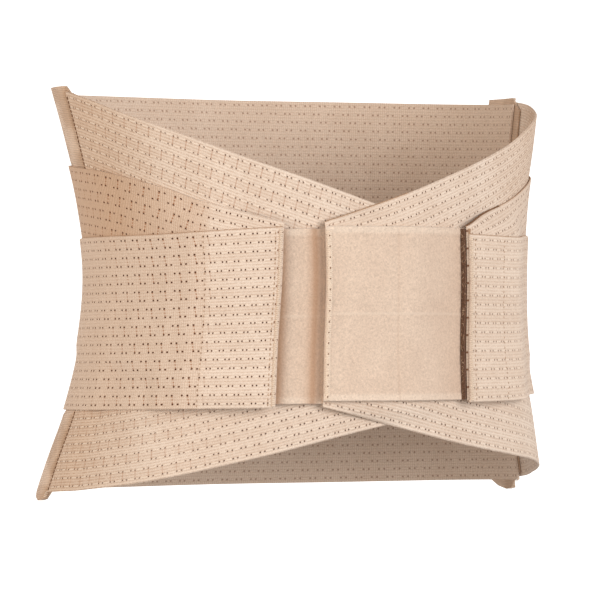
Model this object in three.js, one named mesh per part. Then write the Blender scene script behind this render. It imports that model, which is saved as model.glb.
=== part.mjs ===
// Lumbosacral brace, closed as it is worn.
// Millimetres and degrees. +Z is up, the front faces -Y and the wearer's left is +X.
// The origin is the middle of the waist, level with the middle of the front panels.
// An angle goes round the waist from the front centre, positive towards the wearer's left.

import * as THREE from 'three';

// Cloth and layers
const CLOTH = 1.2;            // elastic band
const BACK_CLOTH = 1.3;       // elastic cloth of the back panel
const PLUSH = 2.0;            // loop panel with its pile
const RIGHT_HOOK = 1.6;       // hook pad pressed flat on the loop panel
const LEFT_HOOK = 2.6;        // hook pad that stands a little off the loop panel
const GAP = 0.45;             // air between two layers
const LAYER = CLOTH + GAP;    // rise from one band to the next
const COLUMN_STEP = 5;        // degrees between two columns of facets
const ROW_STEP = 21;          // height of a row of facets

// The waist form that the cloth is stretched to. A section at a height is a rounded oval, and back is how
// far it lies behind the origin: the brace is hollowed at the waist and flares to the ribs and the hips.
const OVAL_POWER = 2.3;
const WAIST_FORM = [
  { height: -125, halfWidth: 165.5, halfDepth: 121.5, back: 21.0 },
  { height: -90, halfWidth: 156.7, halfDepth: 115.0, back: 13.0 },
  { height: -60, halfWidth: 148.6, halfDepth: 109.5, back: 5.5 },
  { height: -20, halfWidth: 139.9, halfDepth: 104.0, back: 2.0 },
  { height: 25, halfWidth: 136.8, halfDepth: 102.0, back: -1.5 },
  { height: 70, halfWidth: 140.8, halfDepth: 104.5, back: 2.0 },
  { height: 110, halfWidth: 148.5, halfDepth: 110.0, back: 6.5 },
  { height: 150, halfWidth: 156.8, halfDepth: 116.0, back: 14.0 },
];

// Side seam: the back panel ends under the flange of the stay tape, and the wings end against its
// channel. The seam leans to the front above the waist.
const SEAM_START = 89.5;
const LOWER_WING_END = 93.2;
const UPPER_WING_END = 90.6;
const SEAM_LEAN = 2.6;          // degrees
const LEAN_BOTTOM = 10;
const LEAN_TOP = 92;
const FLANGE = 1.0;
const TAPE_LIFT = BACK_CLOTH + GAP;
const WING_SEAM = TAPE_LIFT + FLANGE + GAP;
const STRAP_SEAM = WING_SEAM + LAYER;

// Heights of the layers above the waist form
const PANEL_LIFT = 2 * LAYER;
const HOOK_LIFT = PANEL_LIFT + PLUSH + GAP;
const RIGHT_LIFT = HOOK_LIFT + RIGHT_HOOK + GAP;
const LEFT_LIFT = HOOK_LIFT + LEFT_HOOK + GAP;
const LEFT_OVER_RIGHT = HOOK_LIFT;    // the left wings and panel lie on the right panel
const BACK_LIFT = 2.0;    // behind the stay tapes, clear of the facets of the back panel

// Past the edge of the layer below it, a cloth comes down to a lower lift.
const DRAPE_HOLD = 1.0;         // height past that edge that still keeps the full lift
const DRAPE_RUN = 12;           // height over which the cloth comes down
const DRAPE_ROOM = 0.7;         // most of the cloth past the edge that the first row of facets takes
const SHORTEST_ROW = 1.5;

// Front ends: the angle of an end at the waist, and how far its top and bottom corners turn from there. A
// hook pad ends a little behind the right strap, and shows a little in front of the left one.
const LEFT_FRONT_END = -19.4;
const RIGHT_STRAP_END = -32.2;
const RIGHT_CORNER_TURN = 0.7;
const LEFT_STRAP_END = 30.2;
const LEFT_CORNER_TURN = -1.2;
const RIGHT_HOOK_BEHIND = 0.6;
const LEFT_HOOK_SHOWS = 1.3;
const END_HALF_HEIGHT = 54;
const END_RUN = 15;             // degrees behind an end over which its columns go back to their own angles

// Each table below is one cut of cloth: a row is an upright line at an angle, with the heights of the top
// and bottom edges and the lift of the inner face off the waist form. Where a cloth drapes over the edge
// of the layer below it, edge is the height of that edge and clear is the lift past it.
const BACK_PANEL = [
  { angle: SEAM_START, top: 141.5, bottom: -112, lift: 0 },
  { angle: 135, top: 143, bottom: -113, lift: 0 },
  { angle: 180, top: 143.5, bottom: -113.5, lift: 0 },
  { angle: 225, top: 143, bottom: -113, lift: 0 },
  { angle: 360 - SEAM_START, top: 141.5, bottom: -112, lift: 0 },
];

const RIGHT_UPPER_WING = [
  { angle: -UPPER_WING_END, top: 139.4, bottom: 19, lift: WING_SEAM },
  { angle: -85.5, top: 136.7, bottom: 16.4, lift: WING_SEAM },
  { angle: -78, top: 130.6, bottom: 11.3, lift: LAYER },
  { angle: -62, top: 116, bottom: -5, lift: LAYER },
  { angle: -39, top: 94.7, bottom: -29, lift: LAYER },
  { angle: -15, top: 77.4, bottom: -47, lift: LAYER },
  { angle: 7, top: 63.5, bottom: -52, lift: LAYER },
];

const RIGHT_LOWER_WING = [
  { angle: -LOWER_WING_END, top: 8, bottom: -109.8, lift: WING_SEAM },
  { angle: -88.5, top: 8.5, bottom: -108.8, lift: WING_SEAM },
  { angle: -80, top: 10, bottom: -107, lift: 0 },
  { angle: -62, top: 19, bottom: -100.4, lift: 0 },
  { angle: -39, top: 34, bottom: -87.1, lift: 0 },
  { angle: -15, top: 47, bottom: -73.9, lift: 0 },
  { angle: 7, top: 52, bottom: -64.4, lift: 0 },
];

const LEFT_UPPER_WING = [
  { angle: LEFT_FRONT_END, top: 57.2, bottom: -49, lift: LEFT_OVER_RIGHT + LAYER, edge: 54, clear: PANEL_LIFT },
  { angle: 8, top: 74, bottom: -50, lift: LEFT_OVER_RIGHT + LAYER, edge: 54, clear: PANEL_LIFT },
  { angle: 30, top: 90.2, bottom: -36, lift: LAYER, edge: 54, clear: LAYER },
  { angle: 48, top: 106.6, bottom: -17, lift: LAYER, edge: 54, clear: LAYER },
  { angle: 62, top: 122, bottom: -2, lift: LAYER, edge: 54, clear: LAYER },
  { angle: 78, top: 134.2, bottom: 11.3, lift: LAYER, edge: 54, clear: LAYER },
  { angle: 85.5, top: 138.2, bottom: 16.4, lift: WING_SEAM, edge: 54, clear: WING_SEAM },
  { angle: UPPER_WING_END, top: 140.2, bottom: 19, lift: WING_SEAM, edge: 54, clear: WING_SEAM },
];

const LEFT_LOWER_WING = [
  { angle: LEFT_FRONT_END, top: 50, bottom: -54.8, lift: LEFT_OVER_RIGHT, edge: -53.5, clear: LAYER },
  { angle: 8, top: 54, bottom: -68.7, lift: LEFT_OVER_RIGHT, edge: -53.5, clear: LAYER },
  { angle: 30, top: 40, bottom: -79.4, lift: 0, edge: -53.5, clear: 0 },
  { angle: 48, top: 28, bottom: -86.8, lift: 0, edge: -53.5, clear: 0 },
  { angle: 62, top: 19, bottom: -92, lift: 0, edge: -53.5, clear: 0 },
  { angle: 80, top: 10, bottom: -101.5, lift: 0, edge: -53.5, clear: 0 },
  { angle: 88.5, top: 8.5, bottom: -105.5, lift: WING_SEAM, edge: -53.5, clear: WING_SEAM },
  { angle: LOWER_WING_END, top: 8, bottom: -107, lift: WING_SEAM, edge: -53.5, clear: WING_SEAM },
];

const RIGHT_FRONT_PANEL = [
  { angle: -60, top: 53, bottom: -53, lift: PANEL_LIFT },
  { angle: 7, top: 53.5, bottom: -53, lift: PANEL_LIFT },
];

const LEFT_FRONT_PANEL = [
  { angle: LEFT_FRONT_END, top: 54.8, bottom: -51.2, lift: LEFT_OVER_RIGHT + PANEL_LIFT },
  { angle: 8, top: 55, bottom: -51.5, lift: LEFT_OVER_RIGHT + PANEL_LIFT },
  { angle: 30, top: 54.4, bottom: -51.7, lift: PANEL_LIFT },
  { angle: 48, top: 53, bottom: -52, lift: PANEL_LIFT },
];

const RIGHT_STRAP_HOOK = [
  { angle: -52, top: 50, bottom: -53, lift: HOOK_LIFT },
  { angle: RIGHT_STRAP_END - RIGHT_HOOK_BEHIND, top: 53, bottom: -52.5, lift: HOOK_LIFT },
];

const LEFT_STRAP_HOOK = [
  { angle: LEFT_STRAP_END - LEFT_HOOK_SHOWS, top: 51.5, bottom: -51.5, lift: HOOK_LIFT },
  { angle: 47.5, top: 51, bottom: -50.5, lift: HOOK_LIFT },
];

const RIGHT_UPPER_STRAP = [
  { angle: -158, top: 97, bottom: -12, lift: BACK_LIFT, edge: 54, clear: BACK_LIFT },
  { angle: -113, top: 95.5, bottom: -13.5, lift: BACK_LIFT, edge: 54, clear: BACK_LIFT },
  { angle: -104.5, top: 94.5, bottom: -14.5, lift: STRAP_SEAM, edge: 54, clear: STRAP_SEAM },
  { angle: -84.5, top: 90, bottom: -19, lift: STRAP_SEAM, edge: 54, clear: STRAP_SEAM },
  { angle: -77, top: 86.8, bottom: -23, lift: PANEL_LIFT, edge: 54, clear: PANEL_LIFT },
  { angle: -68, top: 81.5, bottom: -29, lift: PANEL_LIFT, edge: 54, clear: PANEL_LIFT },
  { angle: -61, top: 76.8, bottom: -35, lift: HOOK_LIFT, edge: 54, clear: PANEL_LIFT },
  { angle: -55, top: 71.2, bottom: -40.3, lift: RIGHT_LIFT, edge: 54, clear: PANEL_LIFT },
  { angle: -42, top: 62.8, bottom: -49, lift: RIGHT_LIFT, edge: 54, clear: PANEL_LIFT },
  { angle: RIGHT_STRAP_END, top: 57, bottom: -53, lift: RIGHT_LIFT, edge: 54, clear: PANEL_LIFT },
];

const RIGHT_LOWER_STRAP = [
  { angle: -158, top: 46, bottom: -62, lift: BACK_LIFT + LAYER, edge: -12, clear: BACK_LIFT },
  { angle: -113, top: 48, bottom: -60, lift: BACK_LIFT + LAYER, edge: -13.5, clear: BACK_LIFT },
  { angle: -104.5, top: 48.5, bottom: -59, lift: STRAP_SEAM + LAYER, edge: -14.5, clear: STRAP_SEAM },
  { angle: -84.5, top: 48.9, bottom: -57.8, lift: STRAP_SEAM + LAYER, edge: -19, clear: STRAP_SEAM },
  { angle: -77, top: 49.1, bottom: -57.3, lift: PANEL_LIFT + LAYER, edge: -23, clear: LAYER },
  { angle: -68, top: 49.4, bottom: -56.7, lift: PANEL_LIFT + LAYER, edge: -29, clear: LAYER },
  { angle: -61, top: 50, bottom: -56.2, lift: HOOK_LIFT + LAYER, edge: -35, clear: HOOK_LIFT },
  { angle: -55, top: 50.8, bottom: -55.8, lift: RIGHT_LIFT + LAYER, edge: -40.3, clear: RIGHT_LIFT },
  { angle: -42, top: 52.7, bottom: -55.4, lift: RIGHT_LIFT + LAYER, edge: -49, clear: RIGHT_LIFT },
  { angle: RIGHT_STRAP_END, top: 54, bottom: -55, lift: RIGHT_LIFT + LAYER, edge: -52, clear: RIGHT_LIFT },
];

const LEFT_UPPER_STRAP = [
  { angle: LEFT_STRAP_END, top: 53.2, bottom: -52, lift: LEFT_LIFT, edge: 54, clear: PANEL_LIFT },
  { angle: 38, top: 59.2, bottom: -47, lift: LEFT_LIFT, edge: 54, clear: PANEL_LIFT },
  { angle: 50, top: 72.5, bottom: -36.5, lift: LEFT_LIFT, edge: 54, clear: PANEL_LIFT },
  { angle: 62, top: 84, bottom: -25.5, lift: PANEL_LIFT, edge: 54, clear: PANEL_LIFT },
  { angle: 70, top: 88, bottom: -21.5, lift: PANEL_LIFT, edge: 54, clear: PANEL_LIFT },
  { angle: 77, top: 90.2, bottom: -19.4, lift: PANEL_LIFT, edge: 54, clear: PANEL_LIFT },
  { angle: 84.5, top: 92.2, bottom: -17.3, lift: STRAP_SEAM, edge: 54, clear: STRAP_SEAM },
  { angle: 104.5, top: 95, bottom: -14.5, lift: STRAP_SEAM, edge: 54, clear: STRAP_SEAM },
  { angle: 113, top: 95.5, bottom: -13.5, lift: BACK_LIFT, edge: 54, clear: BACK_LIFT },
  { angle: 158, top: 97, bottom: -12, lift: BACK_LIFT, edge: 54, clear: BACK_LIFT },
];

const LEFT_LOWER_STRAP = [
  { angle: LEFT_STRAP_END, top: 50.5, bottom: -53, lift: LEFT_LIFT + LAYER, edge: -52, clear: LEFT_LIFT },
  { angle: 50, top: 49.3, bottom: -52.4, lift: LEFT_LIFT + LAYER, edge: -36.5, clear: LEFT_LIFT },
  { angle: 62, top: 50.6, bottom: -50, lift: PANEL_LIFT + LAYER, edge: -25.5, clear: PANEL_LIFT },
  { angle: 77, top: 50.4, bottom: -50.8, lift: PANEL_LIFT + LAYER, edge: -19.4, clear: PANEL_LIFT },
  { angle: 84.5, top: 49.8, bottom: -52.5, lift: STRAP_SEAM + LAYER, edge: -17.3, clear: STRAP_SEAM },
  { angle: 104.5, top: 48.5, bottom: -57, lift: STRAP_SEAM + LAYER, edge: -14.5, clear: STRAP_SEAM },
  { angle: 113, top: 48, bottom: -59, lift: BACK_LIFT + LAYER, edge: -13.5, clear: BACK_LIFT },
  { angle: 158, top: 46, bottom: -62, lift: BACK_LIFT + LAYER, edge: -12, clear: BACK_LIFT },
];

// Stay tape: a flat flange, then a channel that stands up where it is free and is pressed flat under the
// straps. Its bottom end is rounded, and the flange is cut a little lower than the channel at the top.
const TAPE_TOP = 143;
const TAPE_BOTTOM = -115.5;
const TAPE_END_ROUNDING = 10;   // rise of the bottom end at the rear edge of the channel
const FLANGE_CUT = 9;           // drop of the top at the front edge of the flange
const PRESSED_TOP = 100;
const PRESSED_BOTTOM = -68;
const PRESS_RUN = 12;           // height over which the channel goes from pressed to free
const TAPE_PROFILE = [
  { angle: SEAM_START, free: FLANGE, pressed: FLANGE, endRise: 1.3, topDrop: 1 },
  { angle: 91.5, free: FLANGE, pressed: FLANGE, endRise: 0.9, topDrop: 0.55 },
  { angle: 93.5, free: FLANGE, pressed: FLANGE, endRise: 0.3, topDrop: 0 },
  { angle: 94.1, free: 3.3, pressed: 2.2, endRise: 0.12, topDrop: 0 },
  { angle: 96.4, free: 4.2, pressed: 2.4, endRise: 0, topDrop: 0 },
  { angle: 99.4, free: 4.2, pressed: 2.4, endRise: 0.2, topDrop: 0 },
  { angle: 101.2, free: 4, pressed: 2.35, endRise: 0.5, topDrop: 0 },
  { angle: 102.8, free: 3.6, pressed: 2.3, endRise: 0.9, topDrop: 0 },
  { angle: 103.6, free: FLANGE, pressed: FLANGE, endRise: 1.15, topDrop: 0 },
];

// Reading a table between its rows

function bracket(rows, key, at) {
  const last = rows.length - 2;
  const next = rows.findIndex((row) => row[key] > at);
  const index = next < 0 ? last : Math.min(Math.max(next - 1, 0), last);
  const low = rows[index][key];
  const high = rows[index + 1][key];
  return { index, share: THREE.MathUtils.clamp((at - low) / (high - low), 0, 1) };
}

function straight(rows, key, column, at) {
  const { index, share } = bracket(rows, key, at);
  return THREE.MathUtils.lerp(rows[index][column], rows[index + 1][column], share);
}

function eased(rows, key, column, at) {
  const { index, share } = bracket(rows, key, at);
  const ease = share * share * (3 - 2 * share);
  return THREE.MathUtils.lerp(rows[index][column], rows[index + 1][column], ease);
}

// A smooth curve through the rows, whose slope at a row is that of the line between the two rows beside it.
function curved(rows, key, column, at) {
  const { index, share } = bracket(rows, key, at);
  const slope = (k) => {
    const before = rows[Math.max(k - 1, 0)];
    const after = rows[Math.min(k + 1, rows.length - 1)];
    return (after[column] - before[column]) / (after[key] - before[key]);
  };
  const start = rows[index];
  const end = rows[index + 1];
  const run = end[key] - start[key];
  const s = share;
  return start[column] * (1 + 2 * s) * (1 - s) ** 2 + end[column] * s * s * (3 - 2 * s)
    + run * s * (1 - s) * (slope(index) * (1 - s) - slope(index + 1) * s);
}

// A point on the waist form at an angle and a height, raised by a lift.
function formPoint(angle, height, lift) {
  const turn = THREE.MathUtils.degToRad(angle);
  const halfWidth = curved(WAIST_FORM, 'height', 'halfWidth', height);
  const halfDepth = curved(WAIST_FORM, 'height', 'halfDepth', height);
  const back = curved(WAIST_FORM, 'height', 'back', height);
  const across = Math.abs(Math.sin(turn) / halfWidth) ** OVAL_POWER;
  const along = Math.abs(Math.cos(turn) / halfDepth) ** OVAL_POWER;
  const radius = (across + along) ** (-1 / OVAL_POWER) + lift;
  return [radius * Math.sin(turn), back - radius * Math.cos(turn), height];
}

// Angles of the columns: the two ends, and the multiples of the step that lie clear of them.
function columnAngles(start, end) {
  const angles = [start];
  const clear = COLUMN_STEP / 3;
  for (let angle = Math.ceil(start / COLUMN_STEP) * COLUMN_STEP; angle < end; angle += COLUMN_STEP) {
    if (angle - start > clear && end - angle > clear) {
      angles.push(angle);
    }
  }
  angles.push(end);
  return angles;
}

// A closed wall over a grid of angles and heights: an inner face, an outer face and the four edges
// between them. Every column has the same number of heights, and pointAt gives the place of a point of
// the inner or outer face.
function wallGeometry(angles, heightsAt, pointAt) {
  const positions = [];
  for (const side of [0, 1]) {
    for (const angle of angles) {
      for (const height of heightsAt(angle)) {
        positions.push(...pointAt(angle, height, side));
      }
    }
  }
  const rowCount = heightsAt(angles[0]).length - 1;
  const columnCount = angles.length - 1;
  const sideSize = angles.length * (rowCount + 1);
  const corner = (side, column, row) => side * sideSize + column * (rowCount + 1) + row;
  const triangles = [];
  const quad = (a, b, c, d) => triangles.push(a, b, c, a, c, d);
  for (let column = 0; column < columnCount; column += 1) {
    for (let row = 0; row < rowCount; row += 1) {
      const [inner, outer] = [0, 1].map((side) => [
        corner(side, column, row),
        corner(side, column + 1, row),
        corner(side, column + 1, row + 1),
        corner(side, column, row + 1),
      ]);
      quad(outer[0], outer[1], outer[2], outer[3]);
      quad(inner[0], inner[3], inner[2], inner[1]);
    }
  }
  const rim = [];
  for (let column = 0; column < columnCount; column += 1) rim.push([column, 0]);
  for (let row = 0; row < rowCount; row += 1) rim.push([columnCount, row]);
  for (let column = columnCount; column > 0; column -= 1) rim.push([column, rowCount]);
  for (let row = rowCount; row > 0; row -= 1) rim.push([0, row]);
  rim.forEach(([column, row], k) => {
    const next = rim[(k + 1) % rim.length];
    quad(corner(0, column, row), corner(0, ...next), corner(1, ...next), corner(1, column, row));
  });
  const geometry = new THREE.BufferGeometry();
  geometry.setAttribute('position', new THREE.Float32BufferAttribute(positions, 3));
  geometry.setIndex(triangles);
  geometry.computeVertexNormals();
  return geometry;
}

// Heights that go from one to another in even steps, without the first one.
function steps(from, to, count) {
  return Array.from({ length: count }, (_, k) => THREE.MathUtils.lerp(from, to, (k + 1) / count));
}

// How far a column near a front end turns at a height, because a straight end bows on the hollow of the
// waist.
function endTurn(angle, height, end) {
  const share = Math.max(0, 1 - Math.abs(angle - end.angle) / END_RUN);
  return end.cornerTurn * (height / END_HALF_HEIGHT) ** 2 * share;
}

// A cut of cloth of even thickness from its table. drapes is 1 where it comes down above the edge of the
// layer below, -1 where it comes down beneath that edge, and 0 where it keeps its lift. end is its front
// end, if that is bowed.
function clothGeometry(rows, thickness, { drapes = 0, end = null } = {}) {
  const angles = columnAngles(rows[0].angle, rows[rows.length - 1].angle);
  const read = (column, angle) => curved(rows, 'angle', column, angle);
  const holdAt = (angle) => THREE.MathUtils.clamp(
    straight(rows, 'angle', 'edge', angle) + drapes * DRAPE_HOLD,
    read('bottom', angle) + SHORTEST_ROW,
    read('top', angle) - SHORTEST_ROW,
  );
  const tallest = (heightOf) => Math.max(...angles.map(heightOf));
  const rowsIn = (height) => Math.max(1, Math.ceil(height / ROW_STEP));
  const tall = rowsIn(tallest((angle) => read('top', angle) - read('bottom', angle)));
  const plainHeights = (angle) => {
    const bottom = read('bottom', angle);
    return [bottom, ...steps(bottom, read('top', angle), tall)];
  };

  // From the end that keeps its lift to the hold, one row down the drape, and on to the other end
  const keptEnd = drapes > 0 ? 'bottom' : 'top';
  const drapedEnd = drapes > 0 ? 'top' : 'bottom';
  const keptRows = drapes && rowsIn(tallest((angle) => Math.abs(holdAt(angle) - read(keptEnd, angle))));
  const drapedRows = drapes && rowsIn(tallest((angle) => Math.abs(read(drapedEnd, angle) - holdAt(angle))));
  const drapedHeights = (angle) => {
    const hold = holdAt(angle);
    const room = Math.abs(read(drapedEnd, angle) - hold);
    const down = hold + drapes * Math.min(DRAPE_RUN, DRAPE_ROOM * room);
    const heights = [
      read(keptEnd, angle),
      ...steps(read(keptEnd, angle), hold, keptRows),
      down,
      ...steps(down, read(drapedEnd, angle), drapedRows),
    ];
    return drapes > 0 ? heights : heights.reverse();
  };
  const liftAt = (angle, height) => {
    const lift = eased(rows, 'angle', 'lift', angle);
    if (!drapes) {
      return lift;
    }
    const past = THREE.MathUtils.smoothstep(drapes * (height - holdAt(angle)), 0, DRAPE_RUN);
    return THREE.MathUtils.lerp(lift, eased(rows, 'angle', 'clear', angle), past);
  };
  const pointAt = (angle, height, side) => {
    const turn = end ? endTurn(angle, height, end) : 0;
    return formPoint(angle + turn, height, liftAt(angle, height) + side * thickness);
  };
  return wallGeometry(angles, drapes ? drapedHeights : plainHeights, pointAt);
}

// How far the channel of the stay tape is pressed flat at a height, from 0 to 1.
function pressedShare(height) {
  const fromTop = THREE.MathUtils.smoothstep(height, PRESSED_TOP, PRESSED_TOP + PRESS_RUN);
  const fromBottom = 1 - THREE.MathUtils.smoothstep(height, PRESSED_BOTTOM - PRESS_RUN, PRESSED_BOTTOM);
  return 1 - Math.max(fromTop, fromBottom);
}

// The stay tape of one side: 1 for the left, -1 for the right.
function stayTapeGeometry(side) {
  const profileAt = (angle, column) => straight(TAPE_PROFILE, 'angle', column, Math.abs(angle));
  const angles = TAPE_PROFILE.map((row) => side * row.angle).sort((a, b) => a - b);
  const rowCount = Math.ceil((TAPE_TOP - TAPE_BOTTOM) / ROW_STEP);
  const heightsAt = (angle) => {
    const bottom = TAPE_BOTTOM + TAPE_END_ROUNDING * profileAt(angle, 'endRise');
    return [bottom, ...steps(bottom, TAPE_TOP - FLANGE_CUT * profileAt(angle, 'topDrop'), rowCount)];
  };
  const pointAt = (angle, height, outer) => {
    const free = profileAt(angle, 'free');
    const thickness = THREE.MathUtils.lerp(free, profileAt(angle, 'pressed'), pressedShare(height));
    const lean = SEAM_LEAN * THREE.MathUtils.smoothstep(height, LEAN_BOTTOM, LEAN_TOP);
    return formPoint(angle - side * lean, height, TAPE_LIFT + outer * thickness);
  };
  return wallGeometry(angles, heightsAt, pointAt);
}

// Finishes
const FINISHES = {
  elastic: { color: 0xd9bb9f, roughness: 0.9, metalness: 0 },
  tape: { color: 0xcaa98a, roughness: 0.85, metalness: 0 },
  plush: { color: 0xdcbfa4, roughness: 0.97, metalness: 0 },
  hook: { color: 0x7d5c42, roughness: 0.8, metalness: 0 },
};

const brace = new THREE.Group();

function addPiece(name, finish, geometry) {
  const mesh = new THREE.Mesh(geometry, new THREE.MeshStandardMaterial(FINISHES[finish]));
  mesh.name = name;
  brace.add(mesh);
}

addPiece('back_panel', 'elastic', clothGeometry(BACK_PANEL, BACK_CLOTH));
addPiece('right_stay_tape', 'tape', stayTapeGeometry(-1));
addPiece('left_stay_tape', 'tape', stayTapeGeometry(1));
addPiece('right_lower_wing', 'elastic', clothGeometry(RIGHT_LOWER_WING, CLOTH));
addPiece('right_upper_wing', 'elastic', clothGeometry(RIGHT_UPPER_WING, CLOTH));
addPiece('right_front_panel', 'plush', clothGeometry(RIGHT_FRONT_PANEL, PLUSH));
addPiece('left_lower_wing', 'elastic', clothGeometry(LEFT_LOWER_WING, CLOTH, { drapes: -1 }));
addPiece('left_upper_wing', 'elastic', clothGeometry(LEFT_UPPER_WING, CLOTH, { drapes: 1 }));
addPiece('left_front_panel', 'plush', clothGeometry(LEFT_FRONT_PANEL, PLUSH));

const right = { angle: RIGHT_STRAP_END, cornerTurn: RIGHT_CORNER_TURN };
addPiece('right_strap_hook', 'hook', clothGeometry(RIGHT_STRAP_HOOK, RIGHT_HOOK, { end: right }));
addPiece('right_upper_strap', 'elastic', clothGeometry(RIGHT_UPPER_STRAP, CLOTH, { drapes: 1, end: right }));
addPiece('right_lower_strap', 'elastic', clothGeometry(RIGHT_LOWER_STRAP, CLOTH, { drapes: -1, end: right }));

const left = { angle: LEFT_STRAP_END, cornerTurn: LEFT_CORNER_TURN };
addPiece('left_strap_hook', 'hook', clothGeometry(LEFT_STRAP_HOOK, LEFT_HOOK, { end: left }));
addPiece('left_upper_strap', 'elastic', clothGeometry(LEFT_UPPER_STRAP, CLOTH, { drapes: 1, end: left }));
addPiece('left_lower_strap', 'elastic', clothGeometry(LEFT_LOWER_STRAP, CLOTH, { drapes: -1, end: left }));

export default brace;
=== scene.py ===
# Elastic lumbosacral brace, fastened as it is worn round a waist. Tables are in millimetres and degrees.
import math

import bmesh
import bpy
import numpy as np
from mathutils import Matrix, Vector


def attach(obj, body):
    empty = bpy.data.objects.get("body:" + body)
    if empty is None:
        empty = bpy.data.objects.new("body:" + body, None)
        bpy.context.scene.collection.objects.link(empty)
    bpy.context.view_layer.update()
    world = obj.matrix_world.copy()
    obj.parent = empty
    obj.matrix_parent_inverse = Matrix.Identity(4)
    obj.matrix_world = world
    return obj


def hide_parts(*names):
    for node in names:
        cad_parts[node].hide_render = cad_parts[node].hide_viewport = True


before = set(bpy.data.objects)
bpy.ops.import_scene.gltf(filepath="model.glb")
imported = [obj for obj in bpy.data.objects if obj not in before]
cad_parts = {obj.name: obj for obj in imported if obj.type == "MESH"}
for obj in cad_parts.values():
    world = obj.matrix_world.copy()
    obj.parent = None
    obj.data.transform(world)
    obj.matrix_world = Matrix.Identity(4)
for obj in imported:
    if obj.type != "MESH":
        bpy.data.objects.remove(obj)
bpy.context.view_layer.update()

# Back panel
# One broad cut of perforated elastic knit round the wearer's back, sewn into the two side seams.
# The knit runs round the body: its ribs lie level, and wearing it stretches the holes sideways.
MM = 0.001
CLOTH = 1.2
BACK_CLOTH = 1.3
GAP = 0.45  # air between layers
LAYER = CLOTH + GAP
OVAL_POWER = 2.3  # 2 is an ellipse, and more is squarer
DRAPE_HOLD = 1.0  # a band starts to come down this far past the edge below it
DRAPE_RUN = 12  # and is down after this much more
SHORTEST_ROW = 1.5
END_HALF_HEIGHT = 54
END_RUN = 15  # degrees over which the bow of an end dies out
STANDS_SQUARE = 0.4  # how far the knit's uprights turn square to a climbing band
SQUARE_RUN = 0.25  # share of a band's length over which they turn, at each end
CUT_STEPS = 721


def table(columns, *rows, **whole):
    """A short table as one array a column, with the values that hold for the whole piece."""
    return {name: np.array(values, dtype=float) for name, values in zip(columns, zip(*rows))} | whole


WAIST_FORM = table(
    ("height", "half_width", "half_depth", "back"),
    (-125, 165.5, 121.5, 21),
    (-90, 156.7, 115, 13),
    (-60, 148.6, 109.5, 5.5),
    (-20, 139.9, 104, 2),
    (25, 136.8, 102, -1.5),
    (70, 140.8, 104.5, 2),
    (110, 148.5, 110, 6.5),
    (150, 156.8, 116, 14),
)
# Stretch is worn length over flat length. Ribs is 0 where the knit is pulled flat, 1 at rest, and
# above 1 towards the side seams, where it paints shade as darker grooves and a browner colour.
# Holes is how much painted shade the holes show, for the shadowed layers seen through them.
CUT_COLUMNS = ("angle", "top", "bottom", "lift", "stretch", "ribs", "holes")
BACK_PANEL = table(
    CUT_COLUMNS,
    (89.5, 138.5, -108.5, 0, 1.28, 0.6, 0.6),
    (135, 143, -113, 0, 1.28, 0.6, 0.6),
    (180, 143.5, -113.5, 0, 1.28, 0.6, 0.6),
    (225, 143, -113, 0, 1.28, 0.6, 0.6),
    (270.5, 138.5, -108.5, 0, 1.28, 0.6, 0.6),
)


def between(rows, at):
    """A table's first column, the row below each value on it, and the way from there to the next."""
    x = next(iter(rows.values()))
    row = np.clip(np.searchsorted(x, at) - 1, 0, len(x) - 2)
    step = x[row + 1] - x[row]
    return x, row, step, np.clip((at - x[row]) / step, 0, 1)


def curved(rows, column, at):
    """Reads a column off a smooth curve through a table's rows."""
    x, row, step, t = between(rows, at)
    y = rows[column]
    low = np.maximum(np.arange(len(x)) - 1, 0)
    high = np.minimum(np.arange(len(x)) + 1, len(x) - 1)
    slope = (y[high] - y[low]) / (x[high] - x[low])
    leave = (1 + 2 * t) * (1 - t) ** 2 * y[row] + t * (1 - t) ** 2 * step * slope[row]
    reach = t**2 * (3 - 2 * t) * y[row + 1] + t**2 * (t - 1) * step * slope[row + 1]
    return leave + reach


def ease(share):
    """A share from 0 to 1 that leaves 0 and reaches 1 gently."""
    return share * share * (3 - 2 * share)


def eased(rows, column, at):
    """Reads a column that stays level at each row and eases over to the next."""
    _, row, _, t = between(rows, at)
    y = rows[column]
    return y[row] + (y[row + 1] - y[row]) * ease(t)


def form_point(angle, height, lift):
    """Points on the waist in metres: angle from the front, positive to the wearer's left."""
    turn = np.radians(angle)
    columns = ("half_width", "half_depth", "back")
    half_width, half_depth, back = (curved(WAIST_FORM, column, height) for column in columns)
    across = np.abs(np.sin(turn) / half_width) ** OVAL_POWER
    deep = np.abs(np.cos(turn) / half_depth) ** OVAL_POWER
    radius = (across + deep) ** (-1 / OVAL_POWER) + lift
    return np.stack((radius * np.sin(turn), back - radius * np.cos(turn), height), axis=-1) * MM


def end_turn(angle, height, end, bow, slant):
    """How far a column near a front end turns: the end bows on the hollow waist, and may slant."""
    near = np.clip(1 - np.abs(angle - end) / END_RUN, 0, 1)
    rise = height / END_HALF_HEIGHT
    return (bow * rise**2 + slant * rise) * near


def edges_at(cut, angle):
    """The heights of a cut's lower and upper edges."""
    return curved(cut, "bottom", angle), curved(cut, "top", angle)


def lift_at(cut, angle, height):
    """How far the cloth lies off the waist: past the edge of the layer below it, it comes down."""
    lift = eased(cut, "lift", angle)
    if "drapes" not in cut:
        return lift
    bottom, top = edges_at(cut, angle)
    hold = np.interp(angle, cut["angle"], cut["edge"]) + cut["drapes"] * DRAPE_HOLD
    hold = np.clip(hold, bottom + SHORTEST_ROW, top - SHORTEST_ROW)
    past = np.clip(cut["drapes"] * (height - hold) / DRAPE_RUN, 0, 1)
    return lift + (eased(cut, "clear", angle) - lift) * ease(past)


def worn_point(cut, angle, height, rise):
    """A point of a cut as it is worn, raised off the cut's inner face."""
    turn = end_turn(angle, height, *cut["end"]) if "end" in cut else 0
    return form_point(angle + turn, height, lift_at(cut, angle, height) + rise)


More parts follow.
